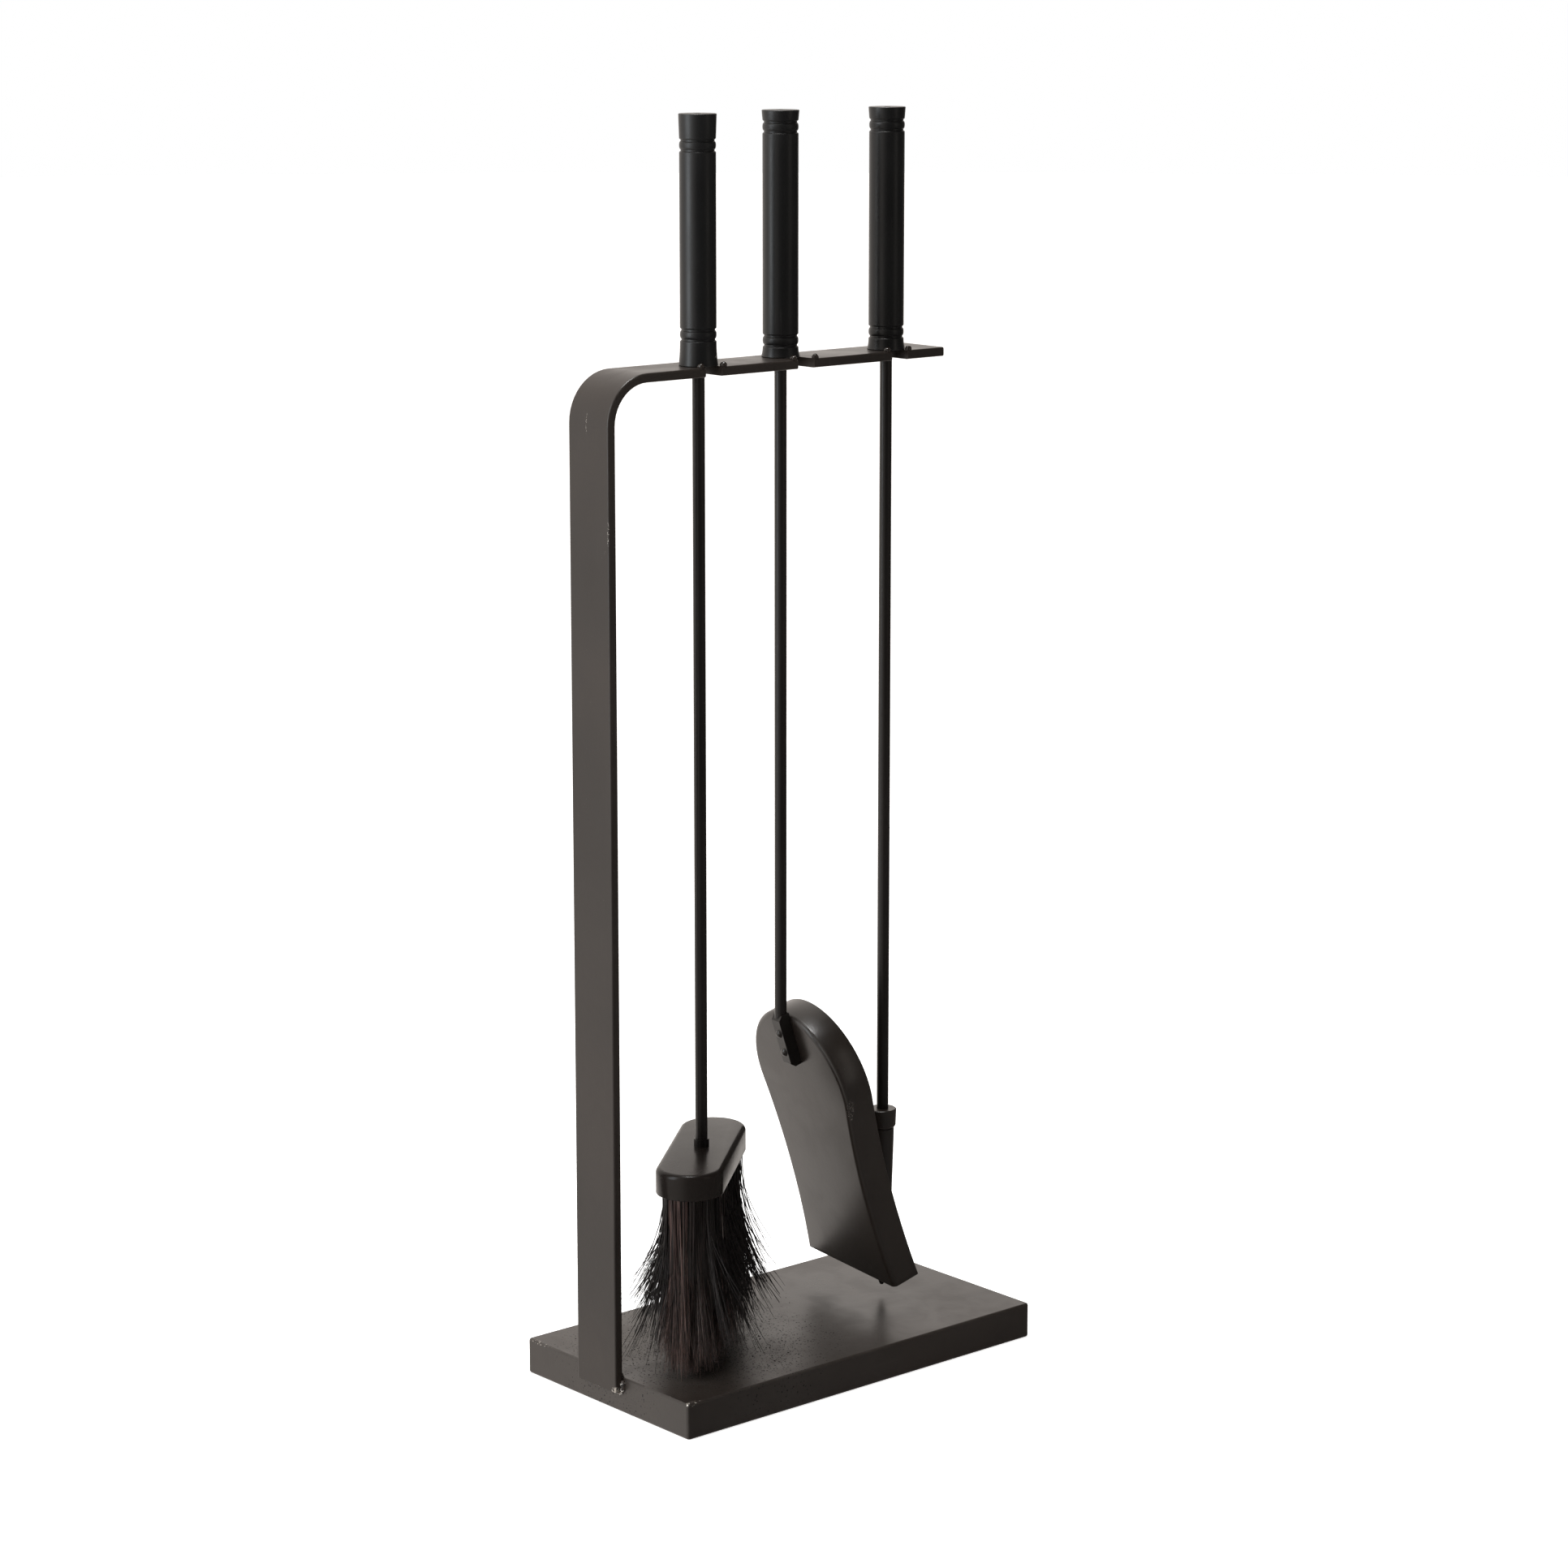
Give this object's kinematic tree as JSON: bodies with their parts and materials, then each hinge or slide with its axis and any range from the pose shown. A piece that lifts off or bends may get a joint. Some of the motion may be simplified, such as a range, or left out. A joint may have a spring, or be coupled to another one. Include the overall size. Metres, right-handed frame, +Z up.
{
  "type": "fireplace tool set",
  "caption": "Slab-based stand with a bent flat-bar post whose slotted arm holds a hearth brush, an ash shovel and a poker by their turned handles.",
  "frame": {"origin": "centre of the base plate's underside, on the floor", "axes": "+Z up; +X along the plate's long side, away from the post, which stands at the -X end; -Y is the side the slots open to"},
  "size_m": [0.308, 0.168, 0.832],
  "materials": {
    "plate_black": "satin black powder coat on a thick steel plate",
    "bar_black": "satin black powder coat on flat steel bar",
    "weld_black": "lumpy weld under black paint, chipped",
    "handle_black": "semi-gloss black on turned handles",
    "rod_black": "satin black on round rod",
    "cap_black": "satin black on a pressed cap",
    "pan_black": "satin black on sheet steel, chipped at the folds",
    "rivet_black": "painted rivet heads",
    "point_black": "satin black on a turned point",
    "screw_steel": "blackened steel screws and nut",
    "stock_wood": "plain wood, hidden under the cap",
    "bristle_hair": "stiff dark fibre, brown-black with lighter strands"
  },
  "bodies": {
    "stand": {"base_plate": "plate_black", "stand_bar": "bar_black", "foot_weld": "weld_black", "stop_bead_brush_left": "bar_black", "stop_bead_brush_right": "bar_black", "stop_bead_shovel_left": "bar_black", "stop_bead_shovel_right": "bar_black", "stop_bead_poker_left": "bar_black", "stop_bead_poker_right": "bar_black"},
    "brush": {"brush_handle": "handle_black", "brush_lock_screw": "screw_steel", "brush_rod": "rod_black", "brush_collar": "rod_black", "brush_cap": "cap_black", "brush_stock": "stock_wood", "brush_nut": "screw_steel", "bristles": "bristle_hair"},
    "shovel": {"shovel_handle": "handle_black", "shovel_lock_screw": "screw_steel", "shovel_rod": "rod_black", "shovel_pan": "pan_black", "shovel_rivet_upper": "rivet_black", "shovel_rivet_lower": "rivet_black"},
    "poker": {"poker_handle": "handle_black", "poker_lock_screw": "screw_steel", "poker_rod": "rod_black", "poker_point": "point_black"}
  },
  "joints": [
    {"name": "brush_lift", "type": "slide", "parent": "stand", "child": "brush", "axis": [0, -0.342, 0.9397], "range_m": [0, 0.3]},
    {"name": "shovel_lift", "type": "slide", "parent": "stand", "child": "shovel", "axis": [0, -0.342, 0.9397], "range_m": [0, 0.14]},
    {"name": "poker_lift", "type": "slide", "parent": "stand", "child": "poker", "axis": [0, -0.342, 0.9397], "range_m": [0, 0.3]}
  ]
}
